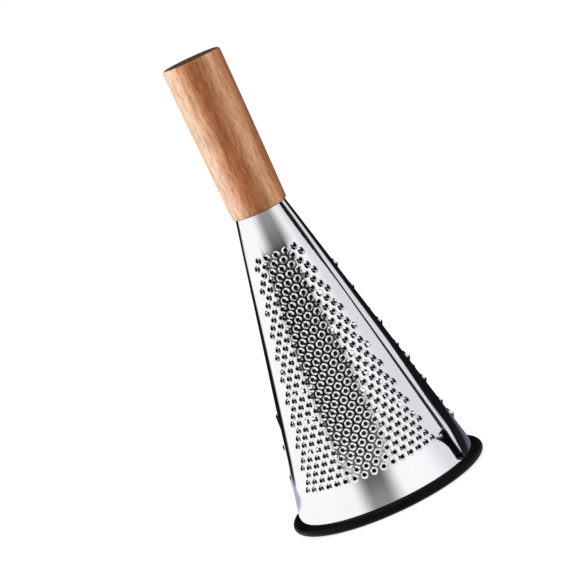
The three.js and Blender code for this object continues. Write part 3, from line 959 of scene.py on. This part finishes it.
plain_faces = [f for f in sheet.faces if lies_flat(f)]
free_edges = [e for e in sheet.edges if e.is_boundary and lies_flat(e)]
walls = bmesh.ops.extrude_edge_only(sheet, edges=free_edges)["geom"]
bmesh.ops.translate(sheet, vec=DOWN, verts=only(POINT, walls))
lower = bmesh.ops.duplicate(sheet, geom=plain_faces)["geom"]
bmesh.ops.translate(sheet, vec=DOWN, verts=only(POINT, lower))
bmesh.ops.reverse_faces(sheet, faces=only(FACE, lower))
low_verts = [v for v in sheet.verts if abs(v.co.z + SHEET) < FLAT]
inner = sheet.verts.layers.float["inside"]
for v in low_verts:
    v[inner] = 1.0
bmesh.ops.remove_doubles(sheet, verts=low_verts, dist=SAME)
open_edges = [e for e in sheet.edges if not e.is_manifold]
print("faces of the sheet:", len(sheet.faces), "edges left open:", len(open_edges))

# %% [markdown]
# Where the ends of the sheet lap, the lower end steps in by a sheet's thickness, so that the upper one
# lies over it without a gap. The step is wider near the handle. Near the foot the lower end is pressed
# in more deeply, along a band that bends off towards the last tooth like a hook. Both could be cut into
# the sheet as faces of their own. A depth for every point keeps them smooth.

# %% The lap's step and the hook at its foot
LAP_CLEARANCE = 0.06
STEP_END, STEP_WIDE, STEP_CURVE = 360.0 + 65.8, 3.8, 1.6
FLARE_WIDE, FLARE_DEEP = 9.0, 0.22
FLARE_Z, FULL_WIDE_Z, FULL_DEEP_Z = 105.0, 158.0, 150.0
HOOK_AZIMUTH, HOOK_WIDE, HOOK_DEEP, HOOK_CURVE = 360.0 + 57.6, 8.3, 2.1, 1.8
HOOK_BEND, HOOK_SPREAD = 8.0, 1.5
HOOK_FOOT_Z, HOOK_FULL_Z, HOOK_BEND_Z, HOOK_TOP_Z = 5.2, 8.0, 13.0, 23.0
FADE_BELOW, FADE_ABOVE = 2.0, 1.5


def soft_step(value, low, high):
    share = min(1.0, max(0.0, (value - low) / (high - low)))
    return share * share * (3 - 2 * share)


def flank(share, curve):
    """Falls off quickly at the edge of a dent and flattens towards its floor."""
    share = min(1.0, max(0.0, share))
    return 1 - (1 - share) ** curve


def lap_dip(azimuth, z):
    around = math.degrees(azimuth)
    wide = STEP_WIDE + FLARE_WIDE * soft_step(z, FLARE_Z, FULL_WIDE_Z)
    deep = SHEET + LAP_CLEARANCE + FLARE_DEEP * soft_step(z, FLARE_Z, FULL_DEEP_Z)
    step = deep * flank((around - STEP_END + wide) / wide, STEP_CURVE)
    bend = max(0.0, (z - HOOK_BEND_Z) / (HOOK_TOP_Z - HOOK_BEND_Z))
    share = (around - HOOK_AZIMUTH + HOOK_BEND * bend * bend) / (HOOK_WIDE + HOOK_SPREAD * bend)
    fade = soft_step(z, HOOK_FOOT_Z, HOOK_FULL_Z)
    fade *= 1 - soft_step(z, HOOK_TOP_Z - FADE_BELOW, HOOK_TOP_Z + FADE_ABOVE)
    hook = HOOK_DEEP * fade * flank(share, HOOK_CURVE)
    return -max(step, hook)


print("depth of the lower end in mm:", round(-lap_dip(LAP_END, 80.0), 2), "half way up")
print("in the hook:", round(-lap_dip(LAP_END, 12.0), 2))

# %% [markdown]
# Rolling is one formula: the distance from the tip of the sector becomes the way down the cone, the
# angle in the sector becomes the way round, and the height above the blank points away from the cone.
# Past the fields the sheet curves in a very little, to the handle and into the ring. A mirror shows
# every flaw of its shading, and the filling between the teeth is made of uneven triangles. So the true
# direction of the rolled sheet is kept for every point of its plain surface.

# %% Roll the sheet
CURVE_IN = 0.12
FIELD_FOOT_Z, FIELD_TOP_Z = 21.5, 139.8


def curve_in(z):
    foot = max(0.0, (FIELD_FOOT_Z - z) / (FIELD_FOOT_Z - CONE_FOOT_Z))
    top = max(0.0, (z - FIELD_TOP_Z) / (CONE_TOP_Z - FIELD_TOP_Z))
    return -CURVE_IN * (foot * foot + top * top)


def rolled(x, y, height):
    reach = math.hypot(x, y)
    azimuth = BLANK_MIDDLE + math.atan2(x, -y) / BEND
    z = APEX_Z - reach * math.cos(SLOPE)
    lift = height + lap_dip(azimuth, z) + curve_in(z)
    out = reach * BEND + lift * math.cos(SLOPE)
    return Vector((out * math.sin(azimuth), -out * math.cos(azimuth), z + lift * math.sin(SLOPE)))


def skin_normal(x, y, height):
    """The direction away from the sheet at a point of its plain surface."""
    tiny = 0.01
    along_x = rolled(x + tiny, y, height) - rolled(x - tiny, y, height)
    along_y = rolled(x, y + tiny, height) - rolled(x, y - tiny, height)
    return along_x.cross(along_y).normalized()


bmesh.ops.recalc_face_normals(sheet, faces=sheet.faces)
sheet.verts.index_update()
plain_normals = {}
for v in sheet.verts:
    if abs(v.co.z) < FLAT:
        plain_normals[v.index] = skin_normal(*v.co)
    elif abs(v.co.z + SHEET) < FLAT:
        plain_normals[v.index] = -skin_normal(*v.co)
for v in sheet.verts:
    v.co = rolled(*v.co)
print("points rolled:", len(sheet.verts), "on the plain surface:", len(plain_normals))

# %% [markdown]
# The cone is finished like any piece. Then the points of its plain surface get the kept directions as
# their normals, while the teeth keep the normals of their own faces. AGREE says how far a face may
# lean before it counts as part of a tooth.

# %% The cone
AGREE = 0.8
cone = finish_piece(sheet, "grating_cone", steel)
cone_mesh = cone.data
corner_normals = []
for face in cone_mesh.polygons:
    for index in face.vertices:
        true = plain_normals.get(index)
        keep = true is not None and true.dot(face.normal) > AGREE
        corner_normals.append(true if keep else Vector((0.0, 0.0, 0.0)))
cone_mesh.normals_split_custom_set(corner_normals)
cone_mesh.calc_loop_triangles()
print("triangles of the cone:", len(cone_mesh.loop_triangles))

# %% [markdown]
# The ring, the handle and the fixings are turned parts: half a section, spun once round the axis. A
# helper spins a section of (radius, height) points, merges the seam and points the faces outwards.

# %% A helper for turned parts
def turned(section, steps):
    bm = bmesh.new()
    points = [bm.verts.new((radius, 0.0, z)) for radius, z in section]
    edges = [bm.edges.new(pair) for pair in zip(points, points[1:])]
    bmesh.ops.spin(
        bm, geom=points + edges, cent=(0, 0, 0), axis=(0, 0, 1), angle=2 * math.pi, steps=steps,
        use_merge=True,
    )
    bmesh.ops.remove_doubles(bm, verts=bm.verts, dist=SAME)
    bmesh.ops.recalc_face_normals(bm, faces=bm.faces)
    return bm


def quarter(start, corner, end, steps):
    """Points of a quarter ellipse from start to end that bulges towards corner."""
    points = []
    for k in range(steps + 1):
        angle = math.pi / 2 * k / steps
        along = [start[i] + (corner[i] - start[i]) * math.sin(angle) for i in (0, 1)]
        points.append(tuple(along[i] + (end[i] - corner[i]) * (1 - math.cos(angle)) for i in (0, 1)))
    return points


print("helpers for turned parts ready")

# %% [markdown]
# The rubber ring keeps the grater from slipping. It has a groove that holds the foot of the cone, and
# outside it a bead: flat below, rounded out to its widest line, and rounded back in to the steel. A
# torus would be round below as well, so the section is drawn and spun.

# %% The foot ring
CLEAR = 0.3
RING_FLOOR, RING_TOP, RING_WIDEST, INNER_TOP = 2.0, 5.8, 2.7, 4.8
OUTER_WALL, LIP_WALL, INNER_WALL = 3.3, 0.5, 2.2
UNDER_ROUND, EASED_FOOT, EASED_TOP = 4.4, 0.6, 0.7
RING_OUT = cone_radius(RING_FLOOR) + CLEAR + OUTER_WALL
RING_LIP = cone_radius(RING_TOP) + CLEAR + LIP_WALL
groove = -2 * SHEET - CLEAR
RING_IN = cone_radius(INNER_TOP) + groove - INNER_WALL
ring_section = [
    (RING_IN, EASED_FOOT),
    (RING_IN + EASED_FOOT, 0.0),
    *quarter((RING_OUT - UNDER_ROUND, 0.0), (RING_OUT, 0.0), (RING_OUT, RING_WIDEST), steps=10),
    *quarter((RING_OUT, RING_WIDEST), (RING_OUT, RING_TOP), (RING_LIP, RING_TOP), steps=10)[1:],
    (cone_radius(RING_TOP) + CLEAR, RING_TOP),
    (cone_radius(RING_FLOOR) + CLEAR, RING_FLOOR),
    (cone_radius(RING_FLOOR) + groove, RING_FLOOR),
    (cone_radius(INNER_TOP) + groove, INNER_TOP),
    (RING_IN + EASED_TOP, INNER_TOP),
    (RING_IN, INNER_TOP - EASED_TOP),
    (RING_IN, EASED_FOOT),
]
finish_piece(turned(ring_section, steps=160), "foot_ring", rubber)

# %% [markdown]
# The handle is turned from one piece of wood: a little thicker at the top, with a slight swell, eased
# edges and a blind bore for the screw. The two outer edges are bevelled after the spin, so that they
# get an even round.

# %% The handle
HANDLE_FOOT_Z = CONE_TOP_Z
FOOT_RADIUS, TOP_RADIUS, SWELL, EASED = 29.6 / 2, 31.4 / 2, 0.2, 1.4
SCREW_RADIUS = 4.2 / 2
BORE_DEPTH = 36.6
BORE_RADIUS, BORE_TOP = SCREW_RADIUS + CLEAR, HANDLE_FOOT_Z + BORE_DEPTH
SIDE_STEPS = 12
side = []
for k in range(SIDE_STEPS + 1):
    share = k / SIDE_STEPS
    radius = FOOT_RADIUS + (TOP_RADIUS - FOOT_RADIUS) * share + SWELL * 4 * share * (1 - share)
    side.append((radius, HANDLE_FOOT_Z + (HANDLE_TOP_Z - HANDLE_FOOT_Z) * share))
bore = [(0.0, BORE_TOP), (BORE_RADIUS, BORE_TOP - BORE_RADIUS), (BORE_RADIUS, HANDLE_FOOT_Z)]
handle_section = [*bore, *side, (0.0, HANDLE_TOP_Z)]
handle_bm = turned(handle_section, steps=96)
ON_RIM = 1e-3


def rim_edges(bm, radius, z):
    def on_rim(v):
        return abs(v.co.z - z) < ON_RIM and abs(math.hypot(v.co.x, v.co.y) - radius) < ON_RIM
    return [e for e in bm.edges if all(on_rim(v) for v in e.verts)]


for radius, z in ((FOOT_RADIUS, HANDLE_FOOT_Z), (TOP_RADIUS, HANDLE_TOP_Z)):
    bmesh.ops.bevel(
        handle_bm, geom=rim_edges(handle_bm, radius, z), offset=EASED, affect="EDGES",
        segments=4, profile=0.5, material=-1,
    )
finish_piece(handle_bm, "handle", wood)

# %% [markdown]
# Inside the top of the cone a pressed cup closes the sheet and takes the pull of the screw. It could be
# a flat disc, but a flange that follows the cone holds it in place. Its corner is broken inside and
# outside, as a pressed corner is round.

# %% The neck plate
PLATE, FLANGE = 1.2, 5.0
CORNER_IN, CORNER_OUT = 1.0, 0.6
HOLE = SCREW_RADIUS + CLEAR


def cup(z):
    return cone_radius(z) - 2 * SHEET - CLEAR


under, flange_foot = CONE_TOP_Z - PLATE, CONE_TOP_Z - FLANGE
plate_section = [
    (HOLE, under),
    (cup(under) - PLATE - CORNER_IN, under),
    (cup(under - CORNER_IN) - PLATE, under - CORNER_IN),
    (cup(flange_foot) - PLATE, flange_foot),
    (cup(flange_foot), flange_foot),
    (cup(CONE_TOP_Z - CORNER_OUT), CONE_TOP_Z - CORNER_OUT),
    (cup(CONE_TOP_Z) - CORNER_OUT, CONE_TOP_Z),
    (HOLE, CONE_TOP_Z),
    (HOLE, under),
]
finish_piece(turned(plate_section, steps=64), "neck_plate", steel)

# %% [markdown]
# The washer spreads the load of the screw's head over the plate. Its outer edges are broken, as a
# stamped washer's are. Two points more in the section do that, and no bevel is needed.

# %% The washer
WASHER_RADIUS, WASHER, BROKEN = 13.0 / 2, 1.2, 0.15
washer_top = CONE_TOP_Z - PLATE
washer_section = [
    (HOLE, washer_top - WASHER),
    (WASHER_RADIUS - BROKEN, washer_top - WASHER),
    (WASHER_RADIUS, washer_top - WASHER + BROKEN),
    (WASHER_RADIUS, washer_top - BROKEN),
    (WASHER_RADIUS - BROKEN, washer_top),
    (HOLE, washer_top),
    (HOLE, washer_top - WASHER),
]
finish_piece(turned(washer_section, steps=48), "washer", zinc)

# %% [markdown]
# The screw goes up through the washer and the plate into the wood: a round head, a plain neck, a core
# for the thread and a point. It is a turned part like the others.

# %% The screw's head and core
SEAT = CONE_TOP_Z - PLATE - WASHER
SCREW_LENGTH, NECK_LENGTH, TAPER, POINT_LENGTH = 36.0, 4.0, 1.0, 5.0
HEAD_RADIUS, HEAD_HEIGHT, HEAD_ROUND, CORE = 8.4 / 2, 3.0, 1.2, 1.55
HEAD_FOOT, SCREW_TIP = SEAT - HEAD_HEIGHT, SEAT + SCREW_LENGTH
NECK_TOP, THREAD_FOOT = SEAT + NECK_LENGTH, SEAT + NECK_LENGTH + TAPER
POINT_START = SCREW_TIP - POINT_LENGTH

head_edge = quarter(
    (HEAD_RADIUS - HEAD_ROUND, HEAD_FOOT),
    (HEAD_RADIUS, HEAD_FOOT),
    (HEAD_RADIUS, HEAD_FOOT + HEAD_ROUND),
    steps=5,
)
screw_section = [
    (0.0, HEAD_FOOT),
    *head_edge,
    (HEAD_RADIUS, SEAT),
    (SCREW_RADIUS, SEAT),
    (SCREW_RADIUS, NECK_TOP),
    (CORE, THREAD_FOOT),
    (CORE, POINT_START),
    (0.0, SCREW_TIP),
]
screw_bm = turned(screw_section, steps=36)
print("faces of the head and core:", len(screw_bm.faces))

# %% [markdown]
# The head shows when one looks up into the cone, so it gets a cross recess. A second body could be cut
# out of the head. Here planes cut the outline of the cross into the face of the head, and the faces
# inside the outline are pushed in.

# %% The cross recess
CROSS_ARM, CROSS_HALF, CROSS_DEPTH = 2.3, 0.45, 1.6
NEAR = 0.01
for axis in (Vector((1, 0, 0)), Vector((0, 1, 0))):
    for offset in (-CROSS_ARM, -CROSS_HALF, CROSS_HALF, CROSS_ARM):
        low_faces = [f for f in screw_bm.faces if f.calc_center_median().z < HEAD_FOOT + NEAR]
        geometry = list({g for f in low_faces for g in (f, *f.edges, *f.verts)})
        bmesh.ops.bisect_plane(
            screw_bm, geom=geometry, dist=1e-5, plane_co=axis * offset, plane_no=axis
        )


def in_cross(face):
    middle = face.calc_center_median()
    wide, narrow = max(abs(middle.x), abs(middle.y)), min(abs(middle.x), abs(middle.y))
    return middle.z < HEAD_FOOT + NEAR and wide < CROSS_ARM and narrow < CROSS_HALF


recess = bmesh.ops.extrude_face_region(screw_bm, geom=[f for f in screw_bm.faces if in_cross(f)])
bmesh.ops.translate(screw_bm, vec=(0, 0, CROSS_DEPTH), verts=only(POINT, recess["geom"]))
left_over = [f for f in screw_bm.faces if in_cross(f)]
bmesh.ops.delete(screw_bm, geom=left_over, context="FACES_ONLY")
print("faces with the cross:", len(screw_bm.faces))

# %% [markdown]
# The thread is a small ridge with a section of three points. It is spun round the core and lifted at
# the same time, which is how a thread is cut. A stack of rings would be simpler, but it wouldn't climb.
# The ridge sinks a little into the core, so that no gap shows between them.

# %% The screw's thread
THREAD_PITCH, THREAD_STEPS = 1.8, 16
RIDGE, SUNK, BEFORE_POINT = 0.9, 0.1, 1.0
turns = (POINT_START - THREAD_FOOT - BEFORE_POINT) / THREAD_PITCH
ridge = [
    screw_bm.verts.new((CORE - SUNK, 0.0, THREAD_FOOT)),
    screw_bm.verts.new((SCREW_RADIUS, 0.0, THREAD_FOOT + RIDGE / 2)),
    screw_bm.verts.new((CORE - SUNK, 0.0, THREAD_FOOT + RIDGE)),
]
bmesh.ops.spin(
    screw_bm, geom=[screw_bm.faces.new(ridge)], cent=(0, 0, 0), axis=(0, 0, 1),
    angle=2 * math.pi * turns, steps=int(THREAD_STEPS * turns),
    dvec=(0, 0, THREAD_PITCH / THREAD_STEPS),
)
bmesh.ops.recalc_face_normals(screw_bm, faces=screw_bm.faces)
print("turns of the thread:", round(turns, 1))
finish_piece(screw_bm, "handle_screw", zinc)
